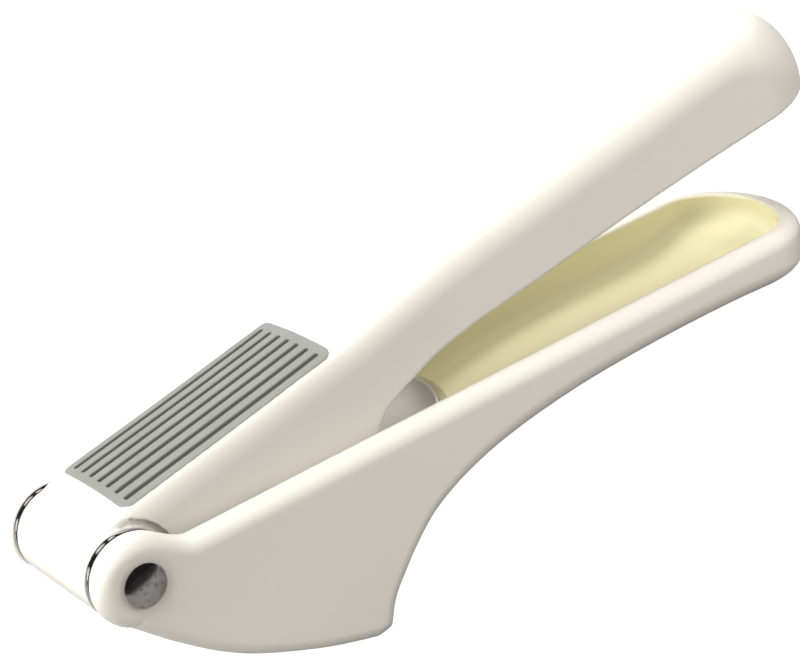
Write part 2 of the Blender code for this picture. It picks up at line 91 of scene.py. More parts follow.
# Lower handle
RIM_Z = 3.6
RIM_ROUND = 3.4
KEEL_ROUND = 3.0
KEEL_ROUND_MORE = 1.5  # added to it along the tray
NOTCH_ROUND = 4.0
HALF_WIDTH = 20.5
WALL_HALF = 16.1
TAIL_X = 161.0
TAIL_REACH = 15.5
TRAY_REACH = 10.8
DAM_THICK = 1.8
TRAY_FILLET = 3.0
SEAT_RADIUS = 9.8
FRONT_TOP_ANGLE = -16.5
FRONT_OUTLINE = [(-3.9, -8.4), (3.4, -15.3), (11.9, -22.2), (20.2, -27.2), (33.5, -33.0), (44.9, -36.6)]
REAR_OUTLINE = [
    (48.6, -35.9), (51.0, -30.4), (54.4, -26.2), (58.6, -21.8), (63.7, -17.6), (69.6, -14.6),
    (76.3, -12.3), (84.6, -10.4), (97.0, -8.6), (110.0, -7.5), (128.0, -7.0), (146.0, -7.2),
    (161.0, -8.0), (185.0, -9.6),
]
TRAY_KEEL = [
    (63.7, -15.6), (69.6, -12.6), (76.3, -10.4), (84.6, -8.6), (97.0, -6.8), (110.0, -5.7), (128.0, -5.2),
    (144.0, -5.2), (154.0, -4.6), (161.0, -3.2), (168.0, -2.2), (178.0, -0.8),
]

# Chamber, hopper and sieve
SIEVE_ANGLE = -35.5
CHAMBER_FRONT = 18.9
CHAMBER_REAR = 56.2
REAR_ROUNDING = 24.0
DAM_Z = 0.8
DAM_X = 77.8
STEEL = 0.5
SIEVE_THICK = 1.0
LIP = 1.8
LEDGE = 2.1
GAP = 0.3
OUTLET_FRONT = 21.4
OUTLET_REAR = 53.6
OUTLET_HALF = 13.9
FRONT_WALL_X = 10.0  # nothing is hollowed out ahead of this
HOLE_RADIUS = 0.95
HOLE_ROWS = 7
HOLE_COLUMNS = 9
HOLE_PITCH = 3.5
FIRST_HOLE = 23.6
HOLES_END = 53.0

# Lever
PLUNGER_FACE_ANGLE = -27.2
BELLY_ANGLE = -8.0
BELLY_REAR = 55.8
LEVER_HALF = 14.7
PALM_WIDENING = 1.3
PALM_X = 167.0
PALM_END = 186.4
CROWN = 1.0
SHELL = 2.5
RIB = 2.0
RIB_RECESS = 4.0
RIB_EDGES = [64.0, 90.0, 117.0, 144.0, 182.5]
CORED_MIDDLE = 123.0
CORED_HALF = 58.0
LEVER_TOP = [
    (-6.6, 6.2), (-4.8, 8.4), (-2.0, 10.3), (1.5, 11.7), (5.0, 12.6), (30.0, 17.6), (52.0, 22.3),
    (62.0, 25.0), (80.0, 30.6), (95.0, 34.5), (118.0, 39.9), (141.0, 45.0), (152.0, 47.1), (160.0, 47.9),
    (167.0, 47.8), (173.0, 46.9), (178.0, 45.6), (182.0, 44.6), (188.0, 43.2), (196.0, 41.2),
]
LEVER_BOTTOM = [
    (62.0, 6.6), (68.7, 9.4), (75.3, 12.0), (84.6, 14.3), (96.8, 16.5), (110.0, 18.8), (130.0, 21.9),
    (150.0, 24.6), (166.0, 26.5), (176.0, 27.6), (186.0, 28.8), (200.0, 30.6),
]
BLOCK_FRONT = 20.3
BLOCK_REAR = 54.4
BLOCK_HALF = 14.3
PLATE_THICK = 0.9
SCREW_RADII = (30.0, 45.0)
SCREW_HOLE = 1.6
SCREW_SEAT = 2.9
SCREW_STATIONS = [(0.22, 2.1), (0.26, 2.3), (0.42, 2.4), (1.1, 1.2), (21.0, 1.2), (22.0, 0.5)]
SLOT_HALF = 0.24

# Grip inlay
INLAY_TILT = 11.0
INLAY_START = 5.3
INLAY_END = 56.7
INLAY_HALF = 13.0
INLAY_CORNER = 2.4
INLAY_FLOOR = 9.4
GROOVES = 7
GROOVE_PITCH = 3.4
GROOVE_WIDTH = 1.2
GROOVE_DEPTH = 0.9
LEAST_PAD = 0.45  # left under a groove where the pad is thin
GROOVE_BORDER = 2.1


SIDEWAYS = Vector((0, 1, 0))
SQUARE = ((-1, -1), (1, -1), (1, 1), (-1, 1))


# ---------------------------------------------------------------- curves


def polar(radius, degrees):
    angle = math.radians(degrees)
    return (radius * math.cos(angle), radius * math.sin(angle))


def smooth(points, steps=12):
    """A Catmull-Rom curve through the points."""
    padded = [points[0], *points, points[-1]]
    made = []
    for stops in zip(padded, padded[1:], padded[2:], padded[3:]):
        for i in range(steps):
            t = i / steps
            weights = (
                0.5 * (-t + 2 * t**2 - t**3),
                0.5 * (2 - 5 * t**2 + 3 * t**3),
                0.5 * (t + 4 * t**2 - 3 * t**3),
                0.5 * (t**3 - t**2),
            )
            made.append(tuple(sum(w * v for w, v in zip(weights, values)) for values in zip(*stops)))
    made.append(points[-1])
    return made


def eased(t):
    t = np.clip(t, 0.0, 1.0)
    return t * t * (3 - 2 * t)


# ---------------------------------------------------------------- signed distances


class Outline:
    """Signed distance to a closed outline of points (x, z), kept on a grid and read back through a
    cubic spline, so that its slope changes smoothly."""

    PITCH = 0.5
    MARGIN = 14.0

    def __init__(self, points, low, high):
        self.low = np.array(low, float) - self.MARGIN
        count = np.ceil((np.array(high, float) + self.MARGIN - self.low) / self.PITCH).astype(int) + 4
        x = (self.low[0] + self.PITCH * np.arange(count[0]))[:, None]
        z = (self.low[1] + self.PITCH * np.arange(count[1]))[None, :]
        near = np.full(count, 1e12)
        within = np.zeros(count, bool)
        for (x0, z0), (x1, z1) in zip(points, points[1:] + points[:1]):
            dx, dz = x1 - x0, z1 - z0
            if dx * dx + dz * dz < 1e-12:
                continue
            t = np.clip(((x - x0) * dx + (z - z0) * dz) / (dx * dx + dz * dz), 0, 1)
            np.minimum(near, (x - x0 - t * dx) ** 2 + (z - z0 - t * dz) ** 2, out=near)
            if dz:
                within ^= ((z0 <= z) != (z1 <= z)) & (x < x0 + (z - z0) * dx / dz)
        self.grid = np.where(within, -1.0, 1.0) * np.sqrt(near)

    def __call__(self, x, z):
        parts = []
        for value, low, size in ((x, self.low[0], self.grid.shape[0]), (z, self.low[1], self.grid.shape[1])):
            at = np.clip((value - low) / self.PITCH, 1.0, size - 3.001)
            cell = at.astype(int)
            t = at - cell
            weights = (
                (1 - t) ** 3 / 6,
                (3 * t**3 - 6 * t * t + 4) / 6,
                (-3 * t**3 + 3 * t * t + 3 * t + 1) / 6,
                t**3 / 6,
            )
            parts.append((cell, weights))
        (i, across), (k, up) = parts
        total = 0.0
        for a in range(4):
            for b in range(4):
                total = total + across[a] * up[b] * self.grid[i + a - 1, k + b - 1]
        return total


def round_and(a, b, r):
    """What two shapes share, with its edge rounded to radius r."""
    return np.minimum(np.maximum(a, b), -r) + np.hypot(np.maximum(a + r, 0), np.maximum(b + r, 0))


def round_or(a, b, r):
    """Two shapes together, with the corner between them filled to radius r."""
    return np.maximum(np.minimum(a, b), r) - np.hypot(np.maximum(r - a, 0), np.maximum(r - b, 0))


def plan(x, side, start, reach, half):
    """Distance in plan to a straight bar that ends in half an ellipse: side is how far from its middle."""
    along, across = np.maximum(x - start, 0.0) / reach, side / half
    k = np.hypot(along, across)
    slope = np.hypot(along / reach, across / half)
    return (k - 1) * np.where(slope > 1e-5, k / np.maximum(slope, 1e-5), half)


def bulge(side):
    """How far the chamber's rounded rear wall comes forward at a distance from the middle."""
    return REAR_ROUNDING - np.sqrt(REAR_ROUNDING**2 - np.minimum(side, 23.5) ** 2)


def turned_to(x, z, degrees):
    """Distance along a plane through the hinge axis, and height above it."""
    c, s = math.cos(math.radians(degrees)), math.sin(math.radians(degrees))
    return x * c + z * s, z * c - x * s


def chamber_rear(inset=0.0):
    """The chamber's rear wall in the middle, from the sieve up to the dam."""
    return [
        polar(CHAMBER_REAR - inset, SIEVE_ANGLE),
        polar(CHAMBER_REAR + 0.3 - inset, -28.5),
        (59.6 - inset, -17.0),
        (68.6 - inset, -9.5),
        (75.6 - inset, -4.0),
        (DAM_X - inset, DAM_Z + 0.8),
    ]


FAR = 400.0
underside = Outline(
    [(-3.9, FAR), *smooth(FRONT_OUTLINE), *smooth(REAR_OUTLINE), (FAR, -9.6), (FAR, FAR)],
    (-12, -40), (180, 12),
)
tray_floor = Outline(
    [(0.0, FAR), (0.0, -30.0), *smooth(TRAY_KEEL), (FAR, -1.0), (FAR, FAR)],
    (50, -20), (180, 12),
)
rear_wall = Outline(
    [(-60.0, -FAR), (43.5, -FAR), (43.5, -40.0), *smooth(chamber_rear()), (DAM_X + 1.0, FAR), (-60.0, FAR)],
    (0, -42), (84, 12),
)
swing_far = polar(CHAMBER_FRONT + 4, FRONT_TOP_ANGLE)
swing_room = Outline(
    [
        (-60.0, 60.0), (-60.0, -7.5), (0.0, -7.5), polar(SEAT_RADIUS - 1, FRONT_TOP_ANGLE), swing_far,
        (swing_far[0], 60.0),
    ],
    (-14, -12), (26, 14),
)


def lower_cavities(x, side, z):
    """The seat, the chamber, the outlet, the bore and the tray, which is returned alone as well."""
    radius = np.hypot(x, z)
    seat = np.maximum(np.minimum(radius - SEAT_RADIUS, swing_room(x, z)), side - WALL_HALF)
    along, above = turned_to(x, z, SIEVE_ANGLE)
    behind = x + bulge(side)
    hollow = np.maximum(np.maximum(CHAMBER_FRONT - radius, FRONT_WALL_X - x), side - WALL_HALF)
    hollow = np.maximum(np.maximum(hollow, rear_wall(behind, z)), -LEDGE - above)
    ends = np.maximum(OUTLET_FRONT - along, along + bulge(side) - OUTLET_REAR)
    outlet = round_and(ends, side - OUTLET_HALF, 1.5)
    outlet = np.maximum(np.maximum(outlet, above - 1.0), FRONT_WALL_X - x)
    tray = round_and(plan(x, side, TAIL_X, TRAY_REACH, WALL_HALF), tray_floor(x, z), TRAY_FILLET)
    tray = round_and(tray, DAM_X + DAM_THICK - behind, 2.5)
    over = np.maximum(np.maximum(DAM_Z - z, side - WALL_HALF), np.abs(x - (DAM_X - 4)) - 8.0)
    rest = np.minimum(np.minimum(seat, hollow), np.minimum(outlet, radius - PIN_RADIUS - BORE_CLEARANCE))
    return np.minimum(rest, over), np.minimum(tray, over)


def lower_field(x, y, z):
    """Signed distance to the lower handle."""
    side = np.abs(y)
    radius = np.hypot(x, z)
    edge = plan(x, side, TAIL_X, TAIL_REACH, HALF_WIDTH)
    under = np.minimum(underside(x, z), radius - EAR_RADIUS)
    top = round_or(radius - EAR_RADIUS, z - RIM_Z, NOTCH_ROUND)
    fillet = KEEL_ROUND + KEEL_ROUND_MORE * eased((x - 50.0) / 44.0)
    hull = np.maximum(round_and(edge, under, fillet), round_and(edge, top, RIM_ROUND))
    rest, tray = lower_cavities(x, side, z)
    hull = round_and(hull, -np.minimum(rest, tray), 0.7)
    ground = (x - REST_POINT[0]) * math.sin(TILT) - (z - REST_POINT[1]) * math.cos(TILT)
    return round_and(hull, ground, 0.35)


lever_top = Outline([(-9.2, -FAR), (-9.2, 0.0), *smooth(LEVER_TOP), (196.0, -FAR)], (-12, -12), (190, 52))
belly_rear = smooth([polar(BELLY_REAR, BELLY_ANGLE), (56.6, -2.0), (59.2, 3.6), (62.0, 6.6)])
lever_bottom = Outline(
    [
        (-FAR, FAR * 0.94), (0.0, 0.0), polar(BARREL_RADIUS + 0.2, BELLY_ANGLE), *belly_rear,
        *smooth(LEVER_BOTTOM)[1:], (FAR, 56.0), (FAR, FAR),
    ],
    (-12, -12), (190, 52),
)


def lever_shell(x, side, z):
    """Distance to the lever's sides, shoulders, top and palm, as if it had no underside."""
    half = LEVER_HALF + PALM_WIDENING * eased((x - 70.0) / 45.0)
    edge = plan(x, side, PALM_X, PALM_END - PALM_X, half)
    top = lever_top(x, z) + CROWN * np.minimum(side / half, 1.2) ** 2
    share, palm = np.clip((x - 45.0) / 90.0, 0, 1), eased((x - 158.0) / 26.0)
    across, down = 2.4 + 4.8 * share + 2.8 * palm, 5.0 + 3.0 * share + 6.0 * palm
    u, v = np.maximum(1 + edge / across, 0), np.maximum(1 + top / down, 0)
    reach = np.hypot(u, v)
    slope = np.hypot(u / across, v / down) / np.maximum(reach, 1e-6)
    return np.where(reach > 1e-3, (reach - 1) / np.maximum(slope, 1e-6), -across)


def inlay_plan(along, side, inset=0.0):
    """Distance in plan to the inlay's rounded rectangle, or to one that lies inset inside it."""
    middle, half = (INLAY_START + INLAY_END) / 2, (INLAY_END - INLAY_START) / 2
    a = np.abs(along - middle) - (half - INLAY_CORNER)
    b = side - (INLAY_HALF - INLAY_CORNER)
    corner = np.hypot(np.maximum(a, 0), np.maximum(b, 0))
    return corner + np.minimum(np.maximum(a, b), 0) - INLAY_CORNER + inset


def upper_field(x, y, z):
    """Signed distance to the lever."""
    side = np.abs(y)
    radius = np.hypot(x, z)
    shell = lever_shell(x, side, z)
    under = lever_bottom(x, z)
    solid = round_and(shell, under, 0.9)
    solid = round_and(solid, -np.maximum(radius - RELIEF_RADIUS, RELIEF_HALF - side), 0.3)
    solid = np.minimum(solid, round_and(radius - BARREL_RADIUS, side - BARREL_HALF, 0.45))
    inside = shell + SHELL
    pockets = np.full(np.shape(x), 1e3)
    for start, end in zip(RIB_EDGES, RIB_EDGES[1:]):
        middle, half = (start + end) / 2, (end - start - RIB) / 2
        pockets = np.minimum(pockets, np.abs(x - middle) - half)
    run = np.abs(x - CORED_MIDDLE) - CORED_HALF
    hollow = round_and(np.maximum(inside, run), np.minimum(pockets, -under - RIB_RECESS), 1.2)
    solid = round_and(solid, -hollow, 0.6)
    along, above = turned_to(x, z, INLAY_TILT)
    recess = np.maximum(inlay_plan(along, side, 0.9), INLAY_FLOOR - above)
    solid = np.maximum(solid, -recess)
    return np.maximum(solid, SLEEVE_RADIUS + BORE_CLEARANCE - radius)


def inlay_field(along, y, above):
    """Signed distance to the grip inlay, in the plane of its own frame."""
    c, s = math.cos(math.radians(INLAY_TILT)), math.sin(math.radians(INLAY_TILT))
    x, z = along * c - above * s, along * s + above * c
    side = np.abs(y)
    skin = lever_shell(x, side, z)
    pad = round_and(skin - 0.05, inlay_plan(along, side), 0.2)
    pad = np.maximum(pad, INLAY_FLOOR + GAP - above)
    lane = np.abs(y - GROOVE_PITCH * np.clip(np.round(y / GROOVE_PITCH), -(GROOVES // 2), GROOVES // 2))
    middle, half = (INLAY_START + INLAY_END) / 2, (INLAY_END - INLAY_START) / 2 - GROOVE_BORDER
    groove = round_and(lane - GROOVE_WIDTH / 2, np.abs(along - middle) - half, 0.4)
    groove = round_and(groove, -GROOVE_DEPTH - skin, 0.3)
    groove = np.maximum(groove, INLAY_FLOOR + GAP + LEAST_PAD - above)
    return round_and(pad, -groove, 0.22)


# ---------------------------------------------------------------- meshes


def surface(field, xs, ys, zs):
    """The zero surface of a field over a grid: its points, and faces of four points each."""
    values = np.broadcast_to(
        field(xs[:, None, None], ys[None, :, None], zs[None, None, :]), (len(xs), len(ys), len(zs))
    )
    inside = values < 0
    shape = [n - 1 for n in values.shape]
    count = np.zeros(shape, np.int8)
    for a in (0, 1):
        for b in (0, 1):
            for c in (0, 1):
                count += inside[a : a + shape[0], b : b + shape[1], c : c + shape[2]]
    active = (count > 0) & (count < 8)
    number = np.full(shape, -1)
    number[active] = np.arange(active.sum())
    i, j, k = np.nonzero(active)
    total, met = np.zeros((len(i), 3)), np.zeros(len(i))
    corners = [(a, b, c) for a in (0, 1) for b in (0, 1) for c in (0, 1)]
    for p in corners:
        for q in corners:
            if sum(q) - sum(p) != 1 or sum(abs(a - b) for a, b in zip(p, q)) != 1:
                continue
            one = values[i + p[0], j + p[1], k + p[2]]
            two = values[i + q[0], j + q[1], k + q[2]]
            cross = (one < 0) != (two < 0)
            t = np.where(cross, one / np.where(cross, one - two, 1.0), 0.0)
            ends = []
            for grid, cell, a, b in ((xs, i, p[0], q[0]), (ys, j, p[1], q[1]), (zs, k, p[2], q[2])):
                ends.append(grid[cell + a] + (grid[cell + b] - grid[cell + a]) * t)
            total += np.stack(ends, 1) * cross[:, None]
            met += cross
    points = total / met[:, None]

    faces = []
    for axis in range(3):
        first = np.moveaxis(inside, axis, 0)
        cells = np.moveaxis(number, axis, 0)
        if axis == 1:  # keeps the other two axes in turning order
            first, cells = first.transpose(0, 2, 1), cells.transpose(0, 2, 1)
        start, end = first[:-1, 1:-1, 1:-1], first[1:, 1:-1, 1:-1]
        a, b, c = np.nonzero(start != end)
        quad = np.stack([cells[a, b, c], cells[a, b + 1, c], cells[a, b + 1, c + 1], cells[a, b, c + 1]], 1)
        back = ~start[a, b, c]
        quad[back] = quad[back][:, ::-1]
        faces.append(quad)
    return points, np.concatenate(faces)


def gradient(field, points, reach):
    """The slope of a field at points, by central differences."""
    x, y, z = points.T
    return np.stack(
        [
            field(x + reach, y, z) - field(x - reach, y, z),
            field(x, y + reach, z) - field(x, y - reach, z),
            field(x, y, z + reach) - field(x, y, z - reach),
        ],
        1,
    ) / (2 * reach)


def settled(field, points, most):
    """Points moved along the slope onto the zero surface, and the surface's normals there."""
    for _ in range(3):
        slope = gradient(field, points, 0.04)
        size = np.maximum((slope**2).sum(1), 0.2)
        step = np.clip(field(*points.T) / size, -most, most)
        points = points - step[:, None] * slope
    normals = gradient(field, points, 0.1)
    return points, normals / np.maximum(np.linalg.norm(normals, axis=1), 1e-9)[:, None]


def stretch(*stops):
    """Grid values through (value, pitch) stops: each pitch holds up to the next value."""
    made = []
    for (start, pitch), (end, _) in zip(stops, stops[1:]):
        made += list(np.linspace(start, end, max(2, round((end - start) / (pitch * COARSE)) + 1))[:-1])
    return np.array([*made, stops[-1][0]])


def sculpted(name, field, xs, ys, zs, turn=0.0):
    """An object on a field's zero surface, drawn in a frame that is turned about the hinge axis."""
    points, faces = surface(field, xs, ys, zs)
    points, normals = settled(field, points, 0.3)
    matrix = PRESS @ Matrix.Rotation(-math.radians(turn), 4, "Y")
    m = np.array(matrix)
    mesh = bpy.data.meshes.new(name)
    mesh.from_pydata(points @ m[:3, :3].T + m[:3, 3], [], faces.tolist())
    mesh.shade_smooth()
    mesh.normals_split_custom_set_from_vertices((normals @ (m[:3, :3].T / MM)).tolist())
    made = bpy.data.objects.new(name, mesh)
    bpy.context.scene.collection.objects.link(made)
    return made, points


def painted(obj, name, values):
    """Keeps a number for each of the mesh's points."""
    attribute = obj.data.attributes.new(name, "FLOAT", "POINT")
    attribute.data.foreach_set("value", np.asarray(values, np.float32))


def loft(name, rings):
    """A closed body, in millimetres, through rings with equal numbers of points."""
    bm = bmesh.new()
    rows = [[bm.verts.new(p) for p in ring] for ring in rings]
    count = len(rows[0])
    for a, b in zip(rows, rows[1:]):
        for i in range(count):
            j = (i + 1) % count
            bm.faces.new((a[i], a[j], b[j], b[i]))
    bm.faces.new(rows[0])
    bm.faces.new(rows[-1])
    bmesh.ops.remove_doubles(bm, verts=bm.verts, dist=1e-5)
    bmesh.ops.recalc_face_normals(bm, faces=bm.faces)
    mesh = bpy.data.meshes.new(name)
    bm.to_mesh(mesh)
    bm.free()
    made = bpy.data.objects.new(name, mesh)
    bpy.context.scene.collection.objects.link(made)
    return made


def baked(obj):
    """The object's mesh with its modifiers applied."""
    graph = bpy.context.evaluated_depsgraph_get()
    mesh = bpy.data.meshes.new_from_object(obj.evaluated_get(graph), depsgraph=graph)
    obj.modifiers.clear()
    obj.data = mesh
    return obj


def cut(target, tool):
    modifier = target.modifiers.new("cut", "BOOLEAN")
    modifier.operation = "DIFFERENCE"
    modifier.solver = "EXACT"
    modifier.object = tool
    baked(target)
    bpy.data.objects.remove(tool)
    return target


def placed(obj, edge=0.0, segments=3, angle=35.0):
    """Rounds the sharp edges and stands a piece drawn in millimetres in the press."""
    if edge:
        modifier = obj.modifiers.new("edges", "BEVEL")
        modifier.width = edge
        modifier.segments = segments
        modifier.limit_method = "ANGLE"
        modifier.angle_limit = math.radians(angle)
        modifier.use_clamp_overlap = True
        baked(obj)
    obj.data.transform(PRESS)
    obj.data.shade_smooth()
    obj.data.set_sharp_from_angle(angle=math.radians(40))
    return obj


def turned(name, stations):
    """A round piece about the hinge axis, through (y, radius) stations."""
    turns = [2 * math.pi * i / 96 for i in range(96)]
    return loft(name, [[(r * math.cos(a), y, r * math.sin(a)) for a in turns] for y, r in stations])


def turned_ring(name, low, high, inner, outer, edge):
    """A washer or sleeve about the hinge axis, with rounded edges."""
    loop = []
    for y, radius, first in (
        (high - edge, outer - edge, 0),
        (low + edge, outer - edge, 90),
        (low + edge, inner + edge, 180),
        (high - edge, inner + edge, 270),
    ):
        for i in range(5):
            a = math.radians(first + 90 * i / 4)
            loop.append((y + edge * math.cos(a), radius + edge * math.sin(a)))
    bm = bmesh.new()
    segments = 128
    rows = []
    for i in range(segments):
        a = 2 * math.pi * i / segments
        rows.append([bm.verts.new((r * math.cos(a), y, r * math.sin(a))) for y, r in loop])
    for a, b in zip(rows, rows[1:] + rows[:1]):
        for i in range(len(loop)):
            j = (i + 1) % len(loop)
            bm.faces.new((a[i], a[j], b[j], b[i]))
    bmesh.ops.recalc_face_normals(bm, faces=bm.faces)
    mesh = bpy.data.meshes.new(name)
    bm.to_mesh(mesh)
    bm.free()
    made = bpy.data.objects.new(name, mesh)
    bpy.context.scene.collection.objects.link(made)
    return placed(made)


def prism(name, outline, start, end):
    return loft(name, [[(x, y, z) for x, z in outline] for y in (start, end)])


def in_plane(name, angle, outline, low, high):
    """An outline of (u, y) on a plane through the hinge axis, between two heights above it."""
    c, s = math.cos(math.radians(angle)), math.sin(math.radians(angle))
    return loft(name, [[(u * c - n * s, y, u * s + n * c) for u, y in outline] for n in (low, high)])


def floor_outline(front, rear, half, corner):
    """The chamber's plan on the sieve's plane: straight in front and rounded behind."""
    points = []
    for sign, first in ((1, 90), (-1, 180)):
        for i in range(7):
            a = math.radians(first + 90 * i / 6)
            middle = (front + corner, sign * (half - corner))
            points.append((middle[0] + corner * math.cos(a), middle[1] + corner * math.sin(a)))
    steps = 28
    for i in range(steps + 1):
        y = -half * math.cos(math.pi * i / steps)
        squeeze = corner * max(0.0, (abs(y) - (half - corner)) / corner) ** 2
        points.append((rear - float(bulge(abs(y))) - 0.8 * squeeze, y))
    return points


def chamber(name, inset, half, top, floor):
    """The chamber's space, inset from the moulding's walls. floor is its height above the sieve's plane."""
    angle = math.radians(SIEVE_ANGLE)
    down = (-math.sin(angle) * floor, math.cos(angle) * floor)
    rear = smooth(chamber_rear(inset), 8)
    start = FRONT_TOP_ANGLE + 3
    front = [polar(CHAMBER_FRONT + inset, start + (SIEVE_ANGLE - start) * i / 16) for i in range(17)]
    foot = [(front[-1][0] + down[0], front[-1][1] + down[1]), (rear[0][0] + down[0], rear[0][1] + down[1])]
    outline_front = [(front[0][0], top), *front, foot[0]]
    outline_rear = [foot[1], *rear, (rear[-1][0], top)]
    steps = 36
    rings = []
    for i in range(steps + 1):
        y = half * math.cos(math.pi * i / steps)
        shift = float(bulge(abs(y)))
        rings.append([(x, y, z) for x, z in outline_front] + [(x - shift, y, z) for x, z in outline_rear])
    return loft(name, rings)


# ---------------------------------------------------------------- pieces

nodes = frame["nodes"]


def stand_in(obj, node, surface_material):
    """obj is shown in place of a CAD node, on that node's body."""
    obj.data.materials.clear()
    obj.data.materials.append(surface_material)
    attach(obj, nodes[node]["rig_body"])
    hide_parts(node)


def make_lower():
    obj, points = sculpted(
        "lower_handle_moulding",
        lower_field,
        stretch((-10.4, 0.6), (84.0, 0.85), (155.0, 0.65), (178.0, 0.65)),
        stretch((-21.6, 0.6), (21.6, 0.6)),
        stretch((-38.0, 0.6), (10.4, 0.6)),
    )
    _, tray = lower_cavities(points[:, 0], np.abs(points[:, 1]), points[:, 2])
    # the tray mask: where the ivory gets its painted bounce-light yellow and its polish
    painted(obj, "tray", eased((0.9 - tray) / 1.2) * (points[:, 2] < RIM_Z - 0.2))
    return obj


def make_upper():
    obj, _ = sculpted(
        "upper_handle_moulding",
        upper_field,
        stretch((-10.4, 0.6), (64.0, 0.8), (160.0, 0.65), (188.0, 0.65)),
        stretch((-17.0, 0.6), (17.0, 0.6)),
        stretch((-10.4, 0.6), (49.6, 0.6)),
    )
    return obj


def make_inlay():
    obj, points = sculpted(
        "grip_inlay_pad",
        inlay_field,
        stretch((4.6, 0.45), (9.6, 0.7), (52.4, 0.45), (57.4, 0.45)),
        stretch((-13.6, 0.2), (13.6, 0.2)),
        stretch((9.0, 0.22), (14.6, 0.22)),
        INLAY_TILT,
    )
    lane = np.abs(points[:, 1] - GROOVE_PITCH * np.round(points[:, 1] / GROOVE_PITCH))
    depth = -inlay_top(points)
    # how far below the pad's top a point lies in a groove, for the painted shade down the grooves
    painted(obj, "groove", eased((depth - 0.1) / 0.35) * (lane < GROOVE_WIDTH))
    return obj


def inlay_top(points):
    """Height above the lever's surface, for points in the inlay's own frame."""
    along, y, above = points.T
    c, s = math.cos(math.radians(INLAY_TILT)), math.sin(math.radians(INLAY_TILT))
    return lever_shell(along * c - above * s, np.abs(y), along * s + above * c)


def make_hopper():
    tub = chamber("hopper_tub", GAP, WALL_HALF - GAP, DAM_Z + 0.8, -LIP)
    near, far = polar(CHAMBER_FRONT - 4, FRONT_TOP_ANGLE - 0.5), polar(24.5, FRONT_TOP_ANGLE - 0.5)
    cut(tub, prism("front_trim", [near, far, (30.0, -1.5), (40.0, 6.0), (near[0], 6.0)], -20.0, 20.0))
    cut(tub, chamber("space", GAP + STEEL, WALL_HALF - GAP - STEEL, 14.0, -LIP + STEEL))
    cut(tub, in_plane("lip_hole", SIEVE_ANGLE, floor_outline(21.6, 53.4, 13.7, 1.5), -10.0, 1.0))
    return placed(tub, 0.14, 2, 50.0)


def make_sieve():
    outline = floor_outline(CHAMBER_FRONT + 1.2, CHAMBER_REAR - 1.2, WALL_HALF - 1.2, 1.2)
    plate = in_plane("sieve_perforated", SIEVE_ANGLE, outline, -SIEVE_THICK, 0.0)
    c, s = math.cos(math.radians(SIEVE_ANGLE)), math.sin(math.radians(SIEVE_ANGLE))
    bm = bmesh.new()
    sides = 20
    for row in range(HOLE_ROWS):
        y = HOLE_PITCH * (row - (HOLE_ROWS - 1) / 2)
        shift = HOLE_PITCH / 2 if row % 2 else 0.0
        for column in range(HOLE_COLUMNS):
            u = FIRST_HOLE + shift + HOLE_PITCH * column
            if u + HOLE_RADIUS > HOLES_END - float(bulge(abs(y))):
                continue
            rings = []
            for n, radius in ((-2.0, HOLE_RADIUS), (-0.18, HOLE_RADIUS), (0.1, HOLE_RADIUS + 0.28)):
                ring = []
                for i in range(sides):
                    a = 2 * math.pi * i / sides
                    v = u + radius * math.cos(a)
                    ring.append(bm.verts.new((v * c - n * s, y + radius * math.sin(a), v * s + n * c)))
                rings.append(ring)
            for one, two in zip(rings, rings[1:]):
                for i in range(sides):
                    j = (i + 1) % sides
                    bm.faces.new((one[i], one[j], two[j], two[i]))
            bm.faces.new(rings[0])
            bm.faces.new(rings[-1])
    bmesh.ops.recalc_face_normals(bm, faces=bm.faces)
    mesh = bpy.data.meshes.new("holes")
    bm.to_mesh(mesh)
    bm.free()
    holes = bpy.data.objects.new("holes", mesh)
    bpy.context.scene.collection.objects.link(holes)
    return placed(cut(plate, holes))


def dome(face, side):
    """Stations of a domed head that stands out from a face on one side: its rim, then its crown."""
    made = [(face + side * 0.02, PIN_HEAD_RADIUS - 0.1), (face + side * 0.14, PIN_HEAD_RADIUS + 0.08)]
    made.append((face + side * 0.34, PIN_HEAD_RADIUS + 0.12))
    steps = 16
    for i in range(steps):
        a = math.pi / 2 * (0.2 + 0.795 * i / (steps - 1))
        made.append((face + side * PIN_HEAD_HEIGHT * math.sin(a), (PIN_HEAD_RADIUS + 0.3) * math.cos(a)))
    return made


def make_pin():
    face = -(HALF_WIDTH + PIN_HEAD_PLAY + GAP)
    rim = [(face + 0.02, PIN_RADIUS), (HALF_WIDTH - 3.3, PIN_RADIUS), (HALF_WIDTH - 3.0, PIN_RADIUS - 0.3)]
    return placed(turned("hinge_pin_domed", [*reversed(dome(face, -1)), *rim]))


def make_pin_cap():
    face = HALF_WIDTH + PIN_HEAD_PLAY + GAP
    rim = [(HALF_WIDTH - 2.6, PIN_RADIUS - 0.3), (HALF_WIDTH - 2.3, PIN_RADIUS), (face - 0.02, PIN_RADIUS)]
    return placed(turned("hinge_cap_domed", [*rim, *dome(face, 1)]))


def screw_frame(radius):
    """Where a plunger screw crosses the plunger's face, and its direction into the lever."""
    angle = math.radians(PLUNGER_FACE_ANGLE)
    return Vector((*polar(radius, PLUNGER_FACE_ANGLE), 0)).xzy, Vector((-math.sin(angle), 0, math.cos(angle)))


def along_screw(name, radius, stations):
    """A round body on a plunger screw's axis, through (distance, radius) stations."""
    point, up = screw_frame(radius)
    across = SIDEWAYS.cross(up)
    turns = [2 * math.pi * i / 40 for i in range(40)]
    spokes = [SIDEWAYS * math.cos(a) + across * math.sin(a) for a in turns]
    return loft(name, [[point + up * distance + spoke * r for spoke in spokes] for distance, r in stations])


